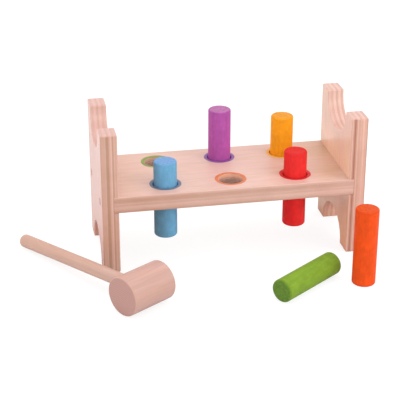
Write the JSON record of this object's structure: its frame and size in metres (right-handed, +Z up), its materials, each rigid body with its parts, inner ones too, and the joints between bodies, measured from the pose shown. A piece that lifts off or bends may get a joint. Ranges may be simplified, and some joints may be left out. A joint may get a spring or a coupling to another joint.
{
  "type": "toy hammer bench",
  "caption": "Wooden toddler's hammer bench: plywood shelf between arched end panels, coloured dowel pegs in ringed holes, and a mallet.",
  "frame": {"origin": "on the floor, midway between the bench's four feet", "axes": "+X along the bench from the mallet's side to the standing loose peg's side, +Y from the front, where the loose pieces lie, to the back, +Z up"},
  "size_m": [0.3706, 0.2254, 0.1572],
  "materials": {
    "panel_plywood": "clear satin lacquer over sanded birch-faced plywood",
    "shelf_plywood": "clear satin lacquer, a painted colour ring round each hole",
    "grip_rubber": "matt tan rubber",
    "blue_stain": "blue satin stain",
    "orange_stain": "orange satin stain",
    "red_stain": "red satin stain",
    "green_stain": "green satin stain",
    "purple_stain": "purple satin stain",
    "yellow_stain": "golden yellow satin stain",
    "screw_steel": "zinc-plated steel, dulled",
    "head_beech": "sanded beech, satin lacquer",
    "handle_beech": "sanded beech, satin lacquer"
  },
  "bodies": {
    "bench": {"left_end_panel": "panel_plywood", "right_end_panel": "panel_plywood", "peg_shelf": "shelf_plywood", "grip_ring_blue": "grip_rubber", "grip_ring_orange": "grip_rubber", "grip_ring_red": "grip_rubber", "grip_ring_green": "grip_rubber", "grip_ring_purple": "grip_rubber", "grip_ring_yellow": "grip_rubber", "left_screws": "screw_steel", "right_screws": "screw_steel"},
    "blue_peg": {"blue_peg": "blue_stain"},
    "purple_peg": {"purple_peg": "purple_stain"},
    "yellow_peg": {"yellow_peg": "yellow_stain"},
    "red_peg": {"red_peg": "red_stain"},
    "orange_peg": {"orange_peg": "orange_stain"},
    "green_peg": {"green_peg": "green_stain"},
    "mallet": {"mallet_head": "head_beech", "mallet_handle": "handle_beech"}
  },
  "joints": [
    {"name": "blue_peg_drive", "type": "slide", "parent": "bench", "child": "blue_peg", "axis": [0, 0, 1], "range_m": [-0.02675, 0.04125]},
    {"name": "purple_peg_drive", "type": "slide", "parent": "bench", "child": "purple_peg", "axis": [0, 0, 1], "range_m": [-0.05725, 0.01075]},
    {"name": "yellow_peg_drive", "type": "slide", "parent": "bench", "child": "yellow_peg", "axis": [0, 0, 1], "range_m": [-0.04475, 0.02325]},
    {"name": "red_peg_drive", "type": "slide", "parent": "bench", "child": "red_peg", "axis": [0, 0, 1], "range_m": [-0.0275, 0.0405]},
    {"name": "orange_peg_lift", "type": "slide", "parent": "bench", "child": "orange_peg", "axis": [0, 0, 1], "range_m": [0, 0.12]},
    {"name": "green_peg_lift", "type": "slide", "parent": "bench", "child": "green_peg", "axis": [0, 0, 1], "range_m": [0, 0.12]},
    {"name": "mallet_lift", "type": "slide", "parent": "bench", "child": "mallet", "axis": [0, 0, 1], "range_m": [0, 0.12]}
  ]
}
